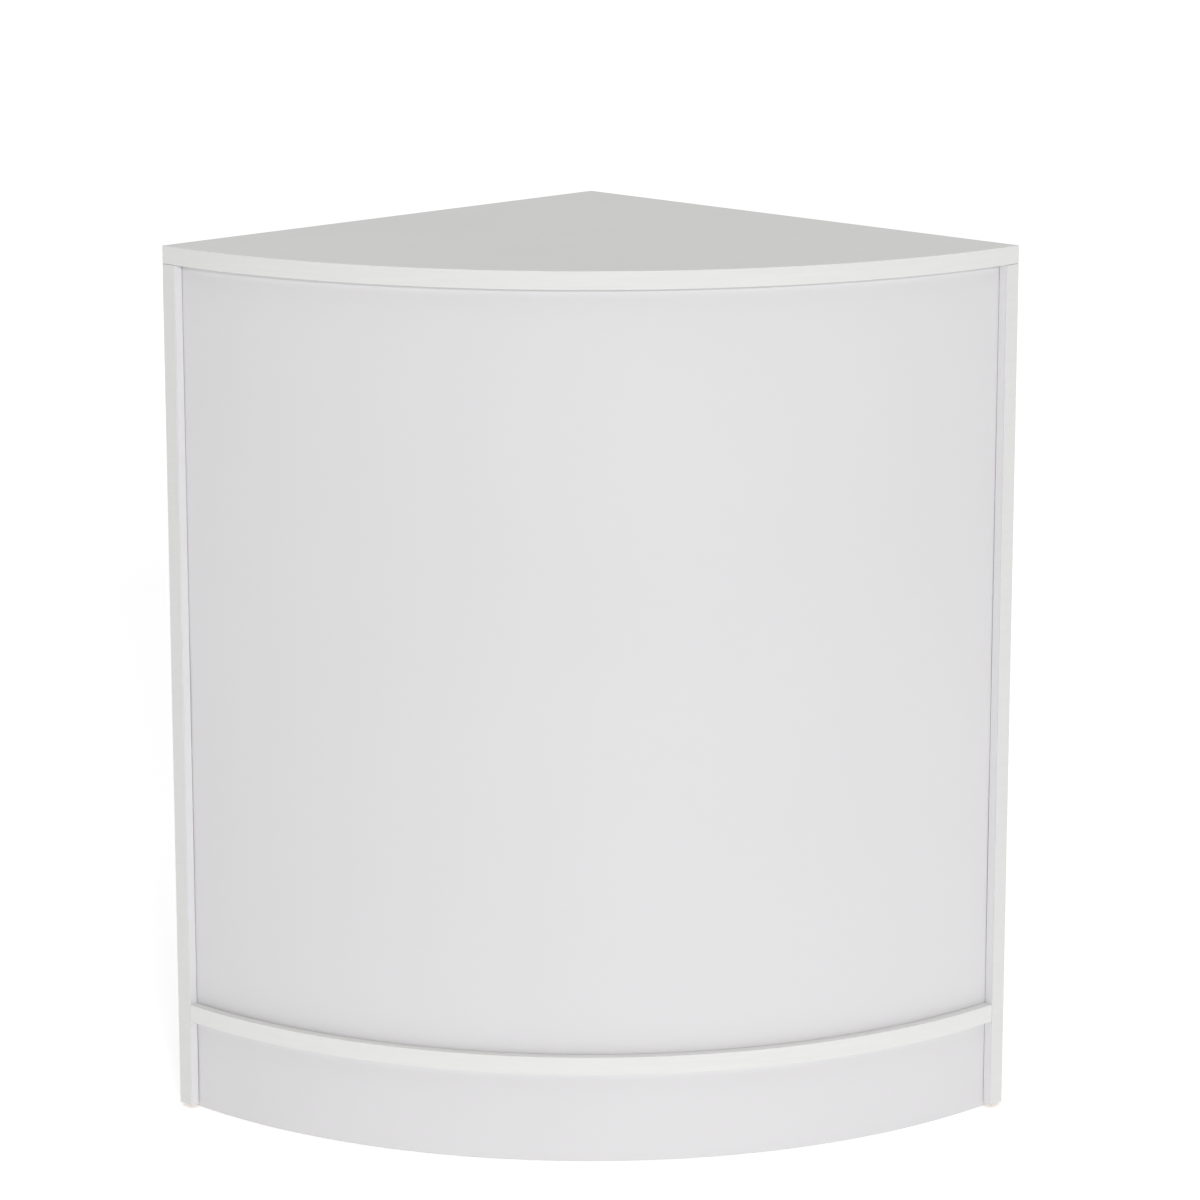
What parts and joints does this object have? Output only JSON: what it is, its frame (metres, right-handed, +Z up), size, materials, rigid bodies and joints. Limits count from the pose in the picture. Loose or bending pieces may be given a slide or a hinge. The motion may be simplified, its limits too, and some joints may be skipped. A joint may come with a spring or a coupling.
{
  "type": "checkout counter",
  "caption": "Quarter-round shop counter in white board: flat worktop, curved front and plinth held in grooves, open staff side with a lift-out shelf, on levelling feet.",
  "frame": {"origin": "on the floor, at the centre of the counter's box, on its plane of symmetry", "axes": "+Z up, -Y towards the customers, +Y towards the square corner on the staff side, +X to the right as a customer faces it"},
  "size_m": [0.8486, 0.6, 0.895],
  "materials": {
    "white_board": "white melamine-faced chipboard, fine satin texture",
    "edge_band": "white ABS edge band, satin, trimmed with eased corners",
    "curved_sheet": "thin flexible board with a smooth cool white face",
    "beech_dowel": "raw fluted beech",
    "cam_zinc": "die-cast zinc, dull",
    "stud_steel": "bright zinc-plated steel",
    "screw_zinc": "zinc-plated steel",
    "peg_plastic": "white moulded plastic",
    "foot_plastic": "black moulded plastic"
  },
  "bodies": {
    "root": {"top_board": "white_board", "base_board": "white_board", "rear_plinth_rail": "white_board", "centre_plinth_rib": "white_board", "side_panel_left": "white_board", "side_panel_right": "white_board", "top_band_front": "edge_band", "top_band_left": "edge_band", "top_band_right": "edge_band", "base_front_band": "edge_band", "base_rear_band": "edge_band", "side_front_band_left": "edge_band", "side_front_band_right": "edge_band", "side_rear_band_left": "edge_band", "side_rear_band_right": "edge_band", "front_sheet": "curved_sheet", "plinth_sheet": "curved_sheet", "top_dowel_left": "beech_dowel", "top_dowel_right": "beech_dowel", "top_cam_left_front": "cam_zinc", "top_cam_left_rear": "cam_zinc", "top_cam_right_front": "cam_zinc", "top_cam_right_rear": "cam_zinc", "base_cam_left_front": "cam_zinc", "base_cam_left_rear": "cam_zinc", "base_cam_right_front": "cam_zinc", "base_cam_right_rear": "cam_zinc", "top_stud_left_front": "stud_steel", "top_stud_left_rear": "stud_steel", "top_stud_right_front": "stud_steel", "top_stud_right_rear": "stud_steel", "base_stud_left_front": "stud_steel", "base_stud_left_rear": "stud_steel", "base_stud_right_front": "stud_steel", "base_stud_right_rear": "stud_steel", "foot_screw_left_front": "screw_zinc", "foot_screw_left_rear": "screw_zinc", "foot_screw_right_front": "screw_zinc", "foot_screw_right_rear": "screw_zinc", "base_screw_left": "screw_zinc", "base_screw_right": "screw_zinc", "base_screw_centre": "screw_zinc", "shelf_peg_left_front": "peg_plastic", "shelf_peg_left_rear": "peg_plastic", "shelf_peg_right_front": "peg_plastic", "shelf_peg_right_rear": "peg_plastic", "foot_block_left_front": "foot_plastic", "foot_block_left_rear": "foot_plastic", "foot_block_right_front": "foot_plastic", "foot_block_right_rear": "foot_plastic"},
    "shelf": {"shelf_board": "white_board", "shelf_rear_band": "edge_band"},
    "foot_pad_left_front": {"foot_pad_left_front": "foot_plastic"},
    "foot_stem_left_front": {"foot_stem_left_front": "stud_steel"},
    "foot_pad_left_rear": {"foot_pad_left_rear": "foot_plastic"},
    "foot_stem_left_rear": {"foot_stem_left_rear": "stud_steel"},
    "foot_pad_right_front": {"foot_pad_right_front": "foot_plastic"},
    "foot_stem_right_front": {"foot_stem_right_front": "stud_steel"},
    "foot_pad_right_rear": {"foot_pad_right_rear": "foot_plastic"},
    "foot_stem_right_rear": {"foot_stem_right_rear": "stud_steel"}
  },
  "joints": [
    {"name": "shelf_lift", "type": "slide", "parent": "root", "child": "shelf", "axis": [0, 0, 1], "range_m": [0, 0.16]},
    {"name": "foot_travel_left_front", "type": "slide", "parent": "root", "child": "foot_pad_left_front", "axis": [0, 0, -1], "range_m": [0, 0.01]},
    {"name": "foot_turn_left_front", "type": "hinge", "parent": "foot_pad_left_front", "child": "foot_stem_left_front", "pos_m": [-0.36607, -0.10892, 0.03], "axis": [0, 0, -1], "range_deg": [0, 2880]},
    {"name": "foot_travel_left_rear", "type": "slide", "parent": "root", "child": "foot_pad_left_rear", "axis": [0, 0, -1], "range_m": [0, 0.01]},
    {"name": "foot_turn_left_rear", "type": "hinge", "parent": "foot_pad_left_rear", "child": "foot_stem_left_rear", "pos_m": [-0.14262, 0.11453, 0.03], "axis": [0, 0, -1], "range_deg": [0, 2880]},
    {"name": "foot_travel_right_front", "type": "slide", "parent": "root", "child": "foot_pad_right_front", "axis": [0, 0, -1], "range_m": [0, 0.01]},
    {"name": "foot_turn_right_front", "type": "hinge", "parent": "foot_pad_right_front", "child": "foot_stem_right_front", "pos_m": [0.36607, -0.10892, 0.03], "axis": [0, 0, -1], "range_deg": [0, 2880]},
    {"name": "foot_travel_right_rear", "type": "slide", "parent": "root", "child": "foot_pad_right_rear", "axis": [0, 0, -1], "range_m": [0, 0.01]},
    {"name": "foot_turn_right_rear", "type": "hinge", "parent": "foot_pad_right_rear", "child": "foot_stem_right_rear", "pos_m": [0.14262, 0.11453, 0.03], "axis": [0, 0, -1], "range_deg": [0, 2880]}
  ],
  "couplings": [
    {"joint": "foot_turn_left_front", "follows": "foot_travel_left_front", "rad_per_m": 5026.5},
    {"joint": "foot_turn_left_rear", "follows": "foot_travel_left_rear", "rad_per_m": 5026.5},
    {"joint": "foot_turn_right_front", "follows": "foot_travel_right_front", "rad_per_m": 5026.5},
    {"joint": "foot_turn_right_rear", "follows": "foot_travel_right_rear", "rad_per_m": 5026.5}
  ]
}
